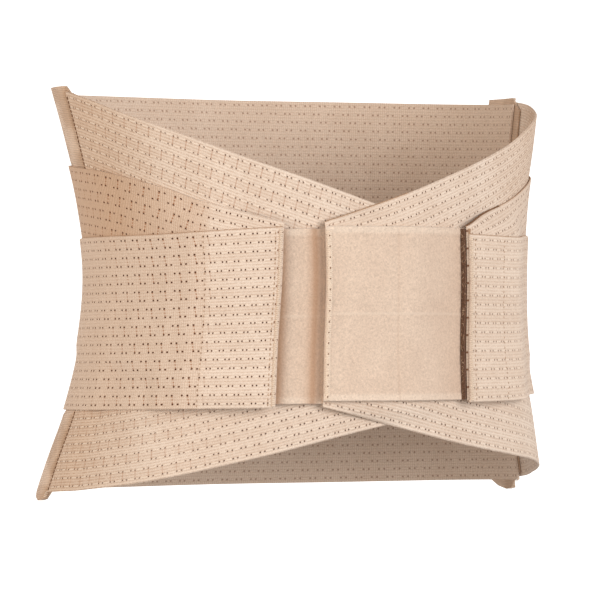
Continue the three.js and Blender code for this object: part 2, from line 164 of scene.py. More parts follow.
def lay_out(cut):
    """The flat cut that a worn band comes from: its length, its width and where each angle lies."""
    first, last = cut["angle"][0], cut["angle"][-1]
    angle = np.linspace(first - 1, last + 1, CUT_STEPS)
    bottom, top = edges_at(cut, angle)
    middle = form_point(angle, (top + bottom) / 2, eased(cut, "lift", angle)) / MM
    step = np.diff(middle, axis=0)
    level = np.linalg.norm(step[:, :2], axis=1)
    halfway = (angle[1:] + angle[:-1]) / 2
    stretch = np.interp(halfway, cut["angle"], cut["stretch"]) if "stretch" in cut else 1.0
    arc = np.concatenate(([0], np.cumsum(level)))
    along = np.concatenate(([0], np.cumsum(np.linalg.norm(step, axis=1) / stretch)))
    along -= np.interp(first, angle, along)
    climb = np.gradient(middle[:, 2], arc)
    width = float(np.mean((top - bottom) / np.sqrt(1 + climb**2)))
    return {"angle": angle, "arc": arc, "along": along, "climb": climb,
            "length": float(np.interp(last, angle, along)), "width": width}


def wrapped(cut, flat, along, up, rise):
    """Where places on the flat cut lie when it is worn, in metres, and the angle of each."""
    share = up / flat["width"]
    arc = np.interp(along, flat["along"], flat["arc"])
    climb = np.interp(along, flat["along"], flat["climb"])
    angle = np.interp(along, flat["along"], flat["angle"])
    bottom, top = edges_at(cut, angle)
    near = np.minimum(along, flat["length"] - along) / (SQUARE_RUN * flat["length"])
    lean = (share - 0.5) * (top - bottom) * climb / (1 + climb**2) * STANDS_SQUARE * np.clip(near, 0, 1)
    angle = np.interp(arc - lean, flat["arc"], flat["angle"])
    bottom, top = edges_at(cut, angle)
    return worn_point(cut, angle, bottom + share * (top - bottom), rise), angle


def places_of(mesh):
    """The places of a mesh's vertices, a row each."""
    places = np.empty(len(mesh.vertices) * 3, dtype=np.float32)
    mesh.vertices.foreach_get("co", places)
    return places.reshape(-1, 3).astype(float)


def wrap(mesh, cut, flat):
    """Lays a flat mesh, x along the cut, y up it and z out of it in millimetres, round the waist."""
    worn, angle = wrapped(cut, flat, *places_of(mesh).T)
    mesh.vertices.foreach_set("co", worn.astype(np.float32).ravel())
    for look in ("ribs", "ladder", "holes", "shade"):
        if look in cut:
            values = np.interp(angle, cut["angle"], cut[look]).astype(np.float32)
            mesh.attributes.new(look, "FLOAT", "POINT").data.foreach_set("value", values)
    mesh.update()


# One repeat of the knit: two holes in one row, two in the next, and plain ribs between.
KNIT_PITCH = 7.0
KNIT_REPEAT = 11.0
KNIT_RIBS = 6
KNIT_UPRIGHTS = 7
HOLE = 0.75
HOLE_WIDE = 0.52
HOLE_TALL = 0.68
HOLE_DEPTH = 0.75
HOLE_RIM = 0.1
CLOSED_HOLES = 0.25  # where holes show less than this, none are sunk in
FIRST_ROW_HOLES = (0, 2.4)
SECOND_ROW_HOLES = (3.2, 5.55)
PLAIN_ENDS = 4  # length without holes, both ends together
SELVEDGE = 3.0
EDGE_ROUND = 0.5
EDGE_THIN = 0.6
CLOTH_CREASE = math.radians(35)


def knit_columns(length):
    """Edges of the knit's cells along the cut, and which row of holes each cell belongs to."""
    count = int((length - PLAIN_ENDS) // KNIT_PITCH)
    start = (length - count * KNIT_PITCH) / 2 + HOLE / 2
    edges, rows = [0.0], [0]
    for repeat in range(count):
        for centre in sorted(FIRST_ROW_HOLES + SECOND_ROW_HOLES):
            place = start + repeat * KNIT_PITCH + centre
            edges += [place - HOLE / 2, place + HOLE / 2]
            rows += [1 if centre in FIRST_ROW_HOLES else 2, 0]
    return edges + [length], rows, start


def knit_rows(width):
    """The same up the cut, from its lower edge, and the height of one repeat."""
    count = max(1, round((width - 2 * SELVEDGE) / KNIT_REPEAT - 0.5))
    repeat = (width - 2 * SELVEDGE) / (count + 0.5)
    edges, rows = [0.0, EDGE_ROUND], [0, 0]
    for half in range(2 * count + 2):
        place = SELVEDGE + half * repeat / 2
        edges += [place - HOLE / 2, place + HOLE / 2]
        rows += [2 - half % 2, 0]
    return edges + [width - EDGE_ROUND, width], rows + [0], repeat


def grid_wall(x_edges, y_edges):
    """A grid on the given edges, extruded to two sides, with the vertices and faces of the outer one."""
    bm = bmesh.new()
    across, up = len(x_edges) - 1, len(y_edges) - 1
    bmesh.ops.create_grid(bm, x_segments=across, y_segments=up, size=0.5)
    for vert in bm.verts:
        column = round((vert.co.x + 0.5) * across)
        row = round((vert.co.y + 0.5) * up)
        vert.co = (x_edges[column], y_edges[row], 0)
    made = bmesh.ops.extrude_face_region(bm, geom=bm.faces[:])["geom"]
    outer_verts = [item for item in made if isinstance(item, bmesh.types.BMVert)]
    outer_faces = [item for item in made if isinstance(item, bmesh.types.BMFace)]
    return bm, outer_verts, outer_faces


def flat_wall(x_edges, y_edges, thickness):
    """A flat cut of cloth with its edges rounded off, and the faces of its outer side."""
    bm, outer_verts, outer_faces = grid_wall(x_edges, y_edges)
    for vert in outer_verts:
        at_edge = min(vert.co.y, y_edges[-1] - vert.co.y) < EDGE_ROUND / 2
        vert.co.z = thickness * (EDGE_THIN if at_edge else 1.0)
    bmesh.ops.recalc_face_normals(bm, faces=bm.faces)
    return bm, outer_faces


def smooth_mesh(name, bm):
    """Ends a bmesh as a smoothly shaded mesh."""
    for face in bm.faces:
        face.smooth = True
    mesh = bpy.data.meshes.new(name)
    bm.to_mesh(mesh)
    bm.free()
    return mesh


def worn_mesh(name, bm, cut, flat, crease):
    """Ends a flat bmesh as a smooth mesh, wrapped as it is worn, with its creases sharp."""
    mesh = smooth_mesh(name, bm)
    wrap(mesh, cut, flat)
    mesh.set_sharp_from_angle(angle=crease)
    return mesh


def perforated_cloth(name, cut, thickness, mirrored):
    """A band of the perforated knit with its holes sunk in, wrapped as it is worn."""
    flat = lay_out(cut)
    x_edges, x_rows, x_start = knit_columns(flat["length"])
    y_edges, y_rows, repeat = knit_rows(flat["width"])
    bm, outer_faces = flat_wall(x_edges, y_edges, thickness)
    holes = []
    for face in outer_faces:
        centre = face.calc_center_median()
        angle = np.interp(centre.x, flat["along"], flat["angle"])
        if np.interp(angle, cut["angle"], cut["holes"]) < CLOSED_HOLES:
            continue
        column = x_rows[int(np.searchsorted(x_edges, centre.x)) - 1]
        row = y_rows[int(np.searchsorted(y_edges, centre.y)) - 1]
        if row and row == column:
            holes.append(face)
    bmesh.ops.inset_individual(bm, faces=holes, thickness=HOLE_RIM, depth=-HOLE_DEPTH)
    chart = bm.loops.layers.uv.new("knit")
    for face in bm.faces:
        for loop in face.loops:
            place = loop.vert.co
            loop[chart].uv = (
                (place.x - x_start) / KNIT_PITCH,
                (flat["width"] - SELVEDGE - place.y) / repeat,
            )
    if mirrored:
        for vert in bm.verts:
            vert.co.x = flat["length"] - vert.co.x
        bmesh.ops.reverse_faces(bm, faces=bm.faces[:])
    return worn_mesh(name, bm, cut, flat, CLOTH_CREASE), flat


def new_material(name):
    """A new node material, its tree and its shader."""
    material = bpy.data.materials.new(name)
    material.use_nodes = True
    shader = material.node_tree.nodes["Principled BSDF"]
    return material, material.node_tree, shader


def set_inputs(tree, node, values):
    """Links a node's inputs to sockets, or sets them to numbers and colours."""
    for name, value in values.items():
        if isinstance(value, bpy.types.NodeSocket):
            tree.links.new(value, node.inputs[name])
        else:
            node.inputs[name].default_value = value
    return node


def calc(tree, operation, *terms):
    """A Math node on sockets and numbers."""
    made = tree.nodes.new("ShaderNodeMath")
    made.operation = operation
    return set_inputs(tree, made, dict(enumerate(terms))).outputs[0]


def times(tree, *terms):
    """The product of sockets and numbers."""
    made = terms[0]
    for term in terms[1:]:
        made = calc(tree, "MULTIPLY", made, term)
    return made


def line(tree, value, slope, start):
    """A value on a straight line: start where the value is 0, and slope more where it is 1."""
    return calc(tree, "MULTIPLY_ADD", value, slope, start)


def inverse(tree, value):
    """1 where the value is 0 and 0 where it is 1."""
    return calc(tree, "SUBTRACT", 1.0, value)


def wave(tree, curve, value, count):
    """A sine or cosine curve from 0 to 1, with so many waves as the value grows by 1."""
    return line(tree, calc(tree, curve, times(tree, value, 2 * math.pi * count)), 0.5, 0.5)


def ramp(tree, value, low, high):
    """0 below low, 1 above high, eased between."""
    made = tree.nodes.new("ShaderNodeMapRange")
    made.interpolation_type = "SMOOTHSTEP"
    return set_inputs(tree, made, {"Value": value, "From Min": low, "From Max": high}).outputs["Result"]


def to_nearest(tree, value, offset):
    """Distance from the nearest whole number after moving by an offset."""
    shifted = calc(tree, "ADD", value, 0.5 - offset)
    return calc(tree, "ABSOLUTE", calc(tree, "SUBTRACT", calc(tree, "FRACT", shifted), 0.5))


def noise(tree, coordinates, scale, detail=2.0, roughness=0.5):
    """A noise texture's value on the given coordinates."""
    values = {"Vector": coordinates, "Scale": scale, "Detail": detail, "Roughness": roughness}
    return set_inputs(tree, tree.nodes.new("ShaderNodeTexNoise"), values).outputs["Fac"]


def mix(tree, factor, first, second):
    """Mixes two colours, each a socket or a linear colour."""
    made = tree.nodes.new("ShaderNodeMix")
    made.data_type = "RGBA"
    ends = [(*colour, 1) if isinstance(colour, tuple) else colour for colour in (first, second)]
    return set_inputs(tree, made, {0: factor, 6: ends[0], 7: ends[1]}).outputs[2]


def shade_by(tree, colour, amount, low, high):
    """Sets a colour's brightness, from low where the amount is 0 to high where it is 1."""
    values = {"Value": line(tree, amount, high - low, low), "Color": colour}
    return set_inputs(tree, tree.nodes.new("ShaderNodeHueSaturation"), values).outputs["Color"]


def surface(tree, shader, colour, roughness, specular=0.5, sheen=0.0, sheen_roughness=0.5):
    """Gives a shader its colour and how it shines."""
    set_inputs(tree, shader, {
        "Base Color": colour, "Roughness": roughness, "Specular IOR Level": specular,
        "Sheen Weight": sheen, "Sheen Roughness": sheen_roughness,
    })


def bump(tree, shader, height, depth, strength):
    """Bumps the shader's surface: depth is in metres for a height of 1."""
    values = {"Height": height, "Distance": depth, "Strength": strength}
    made = set_inputs(tree, tree.nodes.new("ShaderNodeBump"), values)
    tree.links.new(made.outputs["Normal"], shader.inputs["Normal"])


def look_of(tree, name):
    """A look that a cut's table gives to its mesh."""
    made = tree.nodes.new("ShaderNodeAttribute")
    made.attribute_name = name
    return made.outputs["Fac"]


def on_piece(tree):
    """Object coordinates of the piece, in metres."""
    return tree.nodes.new("ShaderNodeTexCoord").outputs["Object"]


def axes(tree, vector):
    """A vector's X, Y and Z."""
    return set_inputs(tree, tree.nodes.new("ShaderNodeSeparateXYZ"), {"Vector": vector}).outputs[:]


def on_chart(tree, name):
    """The two axes of a piece's own UV map."""
    made = tree.nodes.new("ShaderNodeUVMap")
    made.uv_map = name
    return axes(tree, made.outputs["UV"])[:2]


KNIT_DULL = (0.765, 0.635, 0.535)
KNIT_BRIGHT = (0.815, 0.69, 0.59)
# Browner knit where it is pulled flat: its core shows through, and on the right upper strap's far side
# this is also painted side shade.
KNIT_TAUT_AND_SHADE = (0.65, 0.465, 0.335)
# Painted shade colour towards the side seams, where ribs go above 1.
KNIT_SIDE_SHADE = (0.62, 0.40, 0.245)
KNIT_GROOVE = (0.43, 0.25, 0.145)
KNIT_FLOAT = (0.86, 0.72, 0.60)
KNIT_LADDER = (0.37, 0.15, 0.06)
# Painted shade in the holes, for the shadowed layers seen through them.
KNIT_HOLE_SHADE = (0.20, 0.072, 0.027)
HALF_ROW_TINT = 0.09
UPRIGHT_TINT = 0.6
FLOAT_TINT = 0.5
TINT_POWER = 1.5


def hole_pairs(tree, along, across):
    """The pairs of holes in both rows, and the pale threads that float from pair to pair."""
    hole, floats = 0.0, 0.0
    for pair, row in ((FIRST_ROW_HOLES, 0.0), (SECOND_ROW_HOLES, 0.5)):
        middle, half = sum(pair) / 2, (pair[1] - pair[0]) / 2
        beside = times(tree, to_nearest(tree, across, row), KNIT_REPEAT)
        off = times(tree, to_nearest(tree, along, middle / KNIT_PITCH), KNIT_PITCH)
        wide = times(tree, calc(tree, "SUBTRACT", off, half), 1 / HOLE_WIDE)
        tall = times(tree, beside, 1 / HOLE_TALL)
        far = calc(tree, "SQRT", calc(tree, "MULTIPLY_ADD", wide, wide, times(tree, tall, tall)))
        hole = calc(tree, "MAXIMUM", inverse(tree, ramp(tree, far, low=0.55, high=1.3)), hole)
        clear = ramp(tree, off, low=half + 0.45, high=half + 0.8)
        level = inverse(tree, ramp(tree, beside, low=0.3, high=0.6))
        floats = calc(tree, "MAXIMUM", times(tree, clear, level), floats)
    return hole, floats


def ladders(tree, along, across):
    """The slanting ladder from each hole of the first row to the second, and the half rows it is in."""
    down = calc(tree, "FRACT", across)
    lean = 2 * (SECOND_ROW_HOLES[0] - FIRST_ROW_HOLES[1]) / KNIT_PITCH
    off = to_nearest(tree, line(tree, down, -lean, along), FIRST_ROW_HOLES[1] / KNIT_PITCH)
    half_row = calc(tree, "LESS_THAN", down, 0.5)
    return times(tree, inverse(tree, ramp(tree, off, low=0.025, high=0.065)), half_row), half_row


def elastic_knit():
    """Beige elastic knit: ribs along it, holes with pale floats between, and ladders from hole to hole."""
    material, tree, shader = new_material("elastic_knit")
    along, across = on_chart(tree, "knit")
    place = on_piece(tree)
    ribs = look_of(tree, "ribs")
    hole, floats = hole_pairs(tree, along, across)
    rib = wave(tree, "COSINE", across, KNIT_RIBS)
    groove = inverse(tree, rib)
    ladder, half_row = ladders(tree, along, across)
    ladder = times(tree, ladder, look_of(tree, "ladder"))
    slack = ramp(tree, ribs, low=0.62, high=0.72)
    taut = inverse(tree, slack)
    dots = times(tree, ladder, groove, taut)
    strokes = times(tree, ladder, slack)
    upright = times(tree, wave(tree, "COSINE", along, KNIT_UPRIGHTS), taut, inverse(tree, ribs))
    cloudy = ramp(tree, noise(tree, place, scale=45, detail=3.0), low=0.3, high=0.7)
    fuzzy = noise(tree, place, scale=1500)
    broken = ramp(tree, noise(tree, place, scale=800, detail=1.0), low=0.35, high=0.6)
    colour = mix(tree, cloudy, KNIT_DULL, KNIT_BRIGHT)
    # Browner where pulled flat: the knit's core shows, and on the right upper strap's far side it is also
    # painted shade.
    colour = mix(tree, calc(tree, "POWER", inverse(tree, ribs), TINT_POWER), colour, KNIT_TAUT_AND_SHADE)
    # Where ribs go above 1, towards the side seams, this paints shade as a darker brown.
    colour = mix(tree, line(tree, ribs, slope=0.7, start=-0.63), colour, KNIT_SIDE_SHADE)
    colour = mix(tree, times(tree, half_row, slack, HALF_ROW_TINT), colour, KNIT_GROOVE)
    # Groove darkness grows with ribs: above 1, near the side seams, it is painted shade.
    depth = times(tree, calc(tree, "POWER", groove, TINT_POWER), line(tree, ribs, slope=0.42, start=0.06))
    depth = times(tree, depth, line(tree, broken, slope=0.75, start=0.25))
    colour = mix(tree, depth, colour, KNIT_GROOVE)
    colour = mix(tree, times(tree, upright, UPRIGHT_TINT), colour, KNIT_GROOVE)
    colour = mix(tree, times(tree, floats, slack, FLOAT_TINT), colour, KNIT_FLOAT)
    colour = shade_by(tree, colour, fuzzy, low=0.74, high=1.26)
    colour = mix(tree, calc(tree, "MAXIMUM", dots, strokes), colour, KNIT_LADDER)
    # Painted shade in the holes, as dark as the layers behind them would be.
    colour = mix(tree, times(tree, hole, look_of(tree, "holes")), colour, KNIT_HOLE_SHADE)
    surface(tree, shader, colour, roughness=0.85, specular=0.2, sheen=0.15)
    height = line(tree, times(tree, rib, ribs), slope=0.8, start=times(tree, fuzzy, 0.5))
    height = line(tree, dots, slope=-0.5, start=height)
    height = line(tree, floats, slope=0.3, start=height)
    bump(tree, shader, height, depth=0.0003, strength=0.6)
    return material


ELASTIC = elastic_knit()


def add_object(name, data):
    """A new object in the scene."""
    made = bpy.data.objects.new(name, data)
    bpy.context.collection.objects.link(made)
    return made


def place_piece(name, mesh, material, node=None):
    """Puts a finished mesh on the brace, in place of its plain solid where it has one."""
    piece = add_object(name, mesh)
    mesh.materials.append(material)
    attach(piece, "root")
    if node:
        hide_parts(node)
    return piece


def elastic_piece(node, cut, thickness, mirrored=False):
    """One cut of the knit, wrapped as it is worn; gives its flat layout, the size it had before it was put
    on.
    """
    mesh, flat = perforated_cloth(node + "_cloth", cut, thickness, mirrored)
    piece = place_piece(node + "_cloth", mesh, ELASTIC, node)
    return flat


elastic_piece("back_panel", BACK_PANEL, BACK_CLOTH)

# Stay tapes
# Woven tape folded over a flexible stay and sewn down each side seam, with a flat flange to the front.
# The straps press the middle of the channel flatter, and the lower end is folded over and rounded.
TAPE_TOP = 143
TAPE_BOTTOM = -115.5
TAPE_END_ROUND = 10
FLANGE_CUT = 9
FLANGE = 1.0
FLANGE_START = 89.5
FLANGE_END = 93.5
CHANNEL_FOOT = 93.62
CHANNEL_START = 94.1
CHANNEL_END = 102.8
TAPE_EDGE = 103.6
TAPE_LIFT = BACK_CLOTH + GAP
# From here a layer's lift off the waist is named for what it lies on.
ON_TAPE = TAPE_LIFT + FLANGE + GAP
ON_SEAM = ON_TAPE + LAYER
SEAM_LEAN = 2.6  # degrees that the seam turns forward between the next two heights
LEAN_BOTTOM = 10
LEAN_TOP = 92
PRESSED_TOP = 95.2
PRESSED_BOTTOM = -62
PRESS_RUN = 2.8
TAPE_ROW = 2.5
WALL_CREASE = math.radians(50)
TAPE_PROFILE = table(
    ("angle", "free", "pressed", "end_rise", "top_drop"),
    (FLANGE_START, FLANGE, FLANGE, 1.3, 1),
    (91.5, FLANGE, FLANGE, 0.9, 0.55),
    (FLANGE_END, FLANGE, FLANGE, 0.3, 0),
    (CHANNEL_START, 3.3, 2.2, 0.12, 0),
    (96.4, 4.2, 2.4, 0, 0),
    (99.4, 4.2, 2.4, 0.2, 0),
    (101.2, 4, 2.35, 0.5, 0),
    (CHANNEL_END, 3.6, 2.3, 0.9, 0),
    (TAPE_EDGE, FLANGE, FLANGE, 1.15, 0),
)


def stay_tape_mesh(name, side):
    """The tape's cross section run down the side seam, as a closed wall."""
    angles = np.concatenate((
        np.linspace(FLANGE_START, FLANGE_END, 5),
        np.linspace(CHANNEL_FOOT, CHANNEL_START, 4)[:-1],
        np.linspace(CHANNEL_START, CHANNEL_END, 13),
        np.linspace(CHANNEL_END, TAPE_EDGE, 4)[1:],
    ))
    bm, outer_verts, _ = grid_wall(angles, np.linspace(0, 1, int((TAPE_TOP - TAPE_BOTTOM) / TAPE_ROW) + 1))
    for vert in outer_verts:
        vert.co.z = 1
    bmesh.ops.recalc_face_normals(bm, faces=bm.faces)
    mesh = smooth_mesh(name, bm)
    angle, share, outer = places_of(mesh).T
    at = {column: np.interp(angle, TAPE_PROFILE["angle"], rows) for column, rows in TAPE_PROFILE.items()}
    bottom = TAPE_BOTTOM + TAPE_END_ROUND * at["end_rise"]
    top = TAPE_TOP - FLANGE_CUT * at["top_drop"]
    height = bottom + share * (top - bottom)
    above = np.clip((height - PRESSED_BOTTOM) / PRESS_RUN, 0, 1)
    below = np.clip((PRESSED_TOP - height) / PRESS_RUN, 0, 1)
    rise = at["free"] + (at["pressed"] - at["free"]) * ease(above * below)
    lean = ease(np.clip((height - LEAN_BOTTOM) / (LEAN_TOP - LEAN_BOTTOM), 0, 1))
    worn = form_point(side * (angle - SEAM_LEAN * lean), height, TAPE_LIFT + outer * rise)
    mesh.vertices.foreach_set("co", worn.astype(np.float32).ravel())
    if side < 0:
        mesh.flip_normals()
    mesh.update()
    mesh.set_sharp_from_angle(angle=WALL_CREASE)
    return mesh


TAPE_WORN = (0.59, 0.405, 0.28)
TAPE_PALE = (0.76, 0.57, 0.435)
TAPE_RIB = 0.0011  # metres, as Object coordinates are
TAPE_WOBBLE = 0.0006


def woven_tape():
    """Beige woven tape with fine cross ribs and a slight sheen."""
    material, tree, shader = new_material("woven_tape")
    place = on_piece(tree)
    cloudy = noise(tree, place, scale=55)
    fuzzy = noise(tree, place, scale=1200)
    rib = wave(tree, "SINE", line(tree, cloudy, TAPE_WOBBLE, axes(tree, place)[2]), 1 / TAPE_RIB)
    colour = mix(tree, ramp(tree, cloudy, low=0.38, high=0.62), TAPE_WORN, TAPE_PALE)
    colour = shade_by(tree, colour, rib, low=0.80, high=1.06)
    colour = shade_by(tree, colour, fuzzy, low=0.90, high=1.10)
    surface(tree, shader, colour, roughness=0.75, specular=0.25, sheen=0.25)
    bump(tree, shader, line(tree, fuzzy, slope=0.6, start=rib), depth=0.00025, strength=0.7)
    return material


TAPE = woven_tape()
for side_name, side in (("right", -1), ("left", 1)):
    node = side_name + "_stay_tape"
    piece = place_piece(node + "_cloth", stay_tape_mesh(node + "_cloth", side), TAPE, node)

# Wings
# Two crossing bands of the knit on each side, sewn into the side seam and together narrower at the front.
# The lower one climbs and the upper one comes down over it, so they lie on each other at the front.
PLUSH_CLOTH = 2.0
ON_WINGS = 2 * LAYER
ON_PILE = ON_WINGS + PLUSH_CLOTH + GAP
LEFT_FRONT_END = -19.4
# Edge is the height where the layer below a band ends, and clear is the band's lift past it.
# Ladder is how dark the ladders between its holes show.
DRAPED_COLUMNS = ("angle", "top", "bottom", "lift", "edge", "clear", "stretch", "ribs", "holes")
LADDERED_COLUMNS = CUT_COLUMNS + ("ladder",)
RIGHT_LOWER_WING = table(
    LADDERED_COLUMNS,
    (-93.2, 8, -109.8, ON_TAPE, 1.12, 1.5, 0.5, 0.3),
    (-88.5, 8.5, -108.8, ON_TAPE, 1.12, 1.5, 0.5, 0.3),
    (-80, 10, -107, 0, 1.12, 1.3, 0.4, 0.35),
    (-62, 19, -100.4, 0, 1.12, 0.85, 0.3, 0.35),
    (-39, 34, -87.1, 0, 1.08, 0.75, 0.7, 0.05),
    (-15, 47, -73.9, 0, 1.05, 0.8, 0.75, 0),
    (7, 52, -64.4, 0, 1.05, 0.8, 0.7, 0),
)
RIGHT_UPPER_WING = table(
    LADDERED_COLUMNS,
    (-90.6, 139.4, 19, ON_TAPE, 1.12, 1.5, 0.4, 0.1),
    (-85.5, 136.7, 16.4, ON_TAPE, 1.12, 1.5, 0.4, 0.15),
    (-78, 130.6, 11.3, LAYER, 1.12, 1.4, 0.26, 0.3),
    (-62, 116, -5, LAYER, 1.12, 1, 0.26, 0.4),
    (-39, 94.7, -29, LAYER, 1.08, 0.85, 0.5, 0.4),
    (-15, 77.4, -47, LAYER, 1.05, 0.8, 0.6, 0.25),
    (7, 63.5, -52, LAYER, 1.05, 0.8, 0.7, 0.1),
)
LEFT_LOWER_WING = table(
    DRAPED_COLUMNS,
    (LEFT_FRONT_END, 50, -54.8, ON_PILE, -53.5, LAYER, 1.05, 0.8, 0.6),
    (8, 54, -68.7, ON_PILE, -53.5, LAYER, 1.05, 0.8, 0.6),
    (30, 40, -79.4, 0, -53.5, 0, 1.08, 0.8, 0.6),
    (48, 28, -86.8, 0, -53.5, 0, 1.12, 0.8, 0.6),
    (62, 19, -92, 0, -53.5, 0, 1.12, 0.8, 0.6),
    (80, 10, -101.5, 0, -53.5, 0, 1.12, 0.8, 0.6),
    (88.5, 8.5, -105.5, ON_TAPE, -53.5, ON_TAPE, 1.12, 0.8, 0.7),
    (93.2, 8, -107, ON_TAPE, -53.5, ON_TAPE, 1.12, 0.8, 0.7),
    drapes=-1,
)
LEFT_UPPER_WING = table(
    DRAPED_COLUMNS,
    (LEFT_FRONT_END, 57.2, -49, ON_PILE + LAYER, 54, ON_WINGS, 1.05, 0.7, 0.75),
    (8, 74, -50, ON_PILE + LAYER, 54, ON_WINGS, 1.05, 0.7, 0.7),
    (30, 90.2, -36, LAYER, 54, LAYER, 1.08, 0.8, 0.65),
    (48, 106.6, -17, LAYER, 54, LAYER, 1.12, 1.1, 0.6),
    (62, 122, -2, LAYER, 54, LAYER, 1.12, 1.4, 0.5),
    (78, 134.2, 11.3, LAYER, 54, LAYER, 1.12, 1.5, 0.5),
    (85.5, 138.2, 16.4, ON_TAPE, 54, ON_TAPE, 1.12, 1, 0.2),
    (90.6, 140.2, 19, ON_TAPE, 54, ON_TAPE, 1.12, 1, 0.2),
    drapes=1,
)
THREAD_SIDES = 5
SEAM_INSET = 0.8
BARE_END = 1  # a row of stitches starts and ends this far from a cut's edges
# A dark thread along a band's upper edge is painted shadow: the thin line that the edge casts on the layer
# below.
EDGE_POINTS = 90
EDGE_PROUD = 0.1
EDGE_RISE = 0.3
WING_EDGE_END = 14
# A stitch from end to end: how far on it is, and how far out of the cloth.
STITCH_RUN = np.array((0, 0.25, 0.75, 1))
STITCH_RISE = np.array((-0.2, 0.1, 0.1, -0.2))
# A bar tack's three stitches: where each starts, and how one climbs, reaches over the seam and stands out.
TACK_STARTS = np.array((-3.0, -1.7, -0.4))
TACK_CLIMB = np.array((0, 0.2, 0.6, 0.9))
TACK_REACH = np.array((-1.9, -1.4, -0.2, 0.5))
TACK_RISE = np.array((1.7, 2.2, 1.8, 1.0))


def spun_thread(name, dark, light):
    """Sewing thread, mottled between two colours by its twist."""
    material, tree, shader = new_material(name)
    twist = noise(tree, on_piece(tree), scale=2200)
    colour = mix(tree, ramp(tree, twist, low=0.35, high=0.65), dark, light)
    surface(tree, shader, colour, roughness=0.8, specular=0.2)
    bump(tree, shader, twist, depth=0.0002, strength=0.6)
    return material


def unit(vectors):
    """Vectors of length 1."""
    return vectors / np.linalg.norm(vectors, axis=-1, keepdims=True)


def sew(name, cut, flat, paths, material, radius):
    """Short threads on a cut, joined in one mesh: each path is a row of flat places along, up and out."""
    count, points = paths.shape[:2]
    along, up, out = paths.reshape(-1, 3).T
    centre = wrapped(cut, flat, along, up, out)[0].reshape(count, points, 3)
    above = wrapped(cut, flat, along, up, out + 1)[0].reshape(count, points, 3)
    outward = unit(above - centre)
    side = unit(np.cross(np.gradient(centre, axis=1), outward))
    turn = np.arange(THREAD_SIDES) * 2 * math.pi / THREAD_SIDES
    ring = np.cos(turn)[:, None] * outward[:, :, None] + np.sin(turn)[:, None] * side[:, :, None]
    taper = np.where(np.isin(np.arange(points), (0, points - 1)), 0.5, 1.0) * radius * MM
    verts = centre[:, :, None] + ring * taper[:, None, None]
    index = np.arange(verts.size // 3).reshape(count, points, THREAD_SIDES)
    beside = np.roll(index, -1, axis=2)
    walls = np.stack((index[:, :-1], beside[:, :-1], beside[:, 1:], index[:, 1:]), axis=-1).reshape(-1, 4)
    ends = np.concatenate((index[:, 0, ::-1], index[:, -1]))
    mesh = bpy.data.meshes.new(name)
    mesh.from_pydata(verts.reshape(-1, 3).tolist(), [], walls.tolist() + ends.tolist())
    mesh.shade_smooth()
    place_piece(name, mesh, material)


def paths_of(along, up, out):
    """Paths on a flat cut, a row of places each, from their three coordinates."""
    return np.stack(np.broadcast_arrays(along, up, out), axis=-1)


def from_end(flat, inward, at_end):
    """Places along a cut, measured inward from its last end or its first."""
    return flat["length"] - inward if at_end else inward


def stitched_line(flat, along, out, length, gap, bare=BARE_END):
    """Paths of a row of stitches that runs up a cut at one place along it."""
    starts = np.arange(bare, flat["width"] - bare - length, length + gap)
    return paths_of(along, starts[:, None] + STITCH_RUN * length, out + STITCH_RISE)


def edge_shadow_thread(flat, first, last):
    """Path of a dark thread along a cut's upper edge, from one angle to another, that paints the shadow
    the edge casts on the layer below.
    """
    along = np.interp(np.linspace(first, last, EDGE_POINTS), flat["angle"], flat["along"])
    return paths_of(along, flat["width"] + EDGE_PROUD, EDGE_RISE)[None]


def bar_tack(at_seam, inward):
    """Paths of the few stitches across the lower end of a side seam."""
    return paths_of(at_seam + inward * TACK_REACH, TACK_STARTS[:, None] + TACK_CLIMB, TACK_RISE)


SEAM_THREAD = spun_thread("seam_thread", (0.14, 0.065, 0.03), (0.27, 0.145, 0.08))
# Dark thread of painted shadow, along band edges and on the left upper strap's end.
EDGE_SHADOW_THREAD = spun_thread("edge_shadow_thread", (0.36, 0.21, 0.125), (0.50, 0.32, 0.205))
PALE_THREAD = spun_thread("pale_thread", (0.74, 0.585, 0.46), (0.88, 0.75, 0.63))
for node, cut, under, mirrored in (
    ("right_lower_wing", RIGHT_LOWER_WING, "right_stay_tape_cloth", False),
    ("right_upper_wing", RIGHT_UPPER_WING, "right_lower_wing_cloth", True),
    ("left_lower_wing", LEFT_LOWER_WING, "right_front_panel_plush", False),
    ("left_upper_wing", LEFT_UPPER_WING, "left_lower_wing_cloth", True),
):
    flat = elastic_piece(node, cut, CLOTH, mirrored)
    on_right = node.startswith("right")
    at_seam = from_end(flat, SEAM_INSET, not on_right)
    seam = stitched_line(flat, at_seam, CLOTH, length=2.4, gap=0.2)
    sew(node + "_seam_stitches", cut, flat, seam, SEAM_THREAD, radius=0.5)
    if "lower" in node:
        tack = bar_tack(at_seam, 1 if on_right else -1)
        sew(node + "_bar_tack", cut, flat, tack, PALE_THREAD, radius=0.32)
    # Painted shadow: a dark thread along the left upper wing's top edge at the front.
    if node == "left_upper_wing":
        edge = edge_shadow_thread(flat, LEFT_FRONT_END, WING_EDGE_END)
        sew(node + "_edge", cut, flat, edge, EDGE_SHADOW_THREAD, radius=0.45)

# Front panels
# Plush loop cloth sewn on the ends of the wings, its long edges folded in and its end overlocked.
# The left panel lies over the right one, and the pile beside a layer's edge is darkened with painted
# shade.
PANEL_COLUMNS = ("angle", "top", "bottom", "lift")
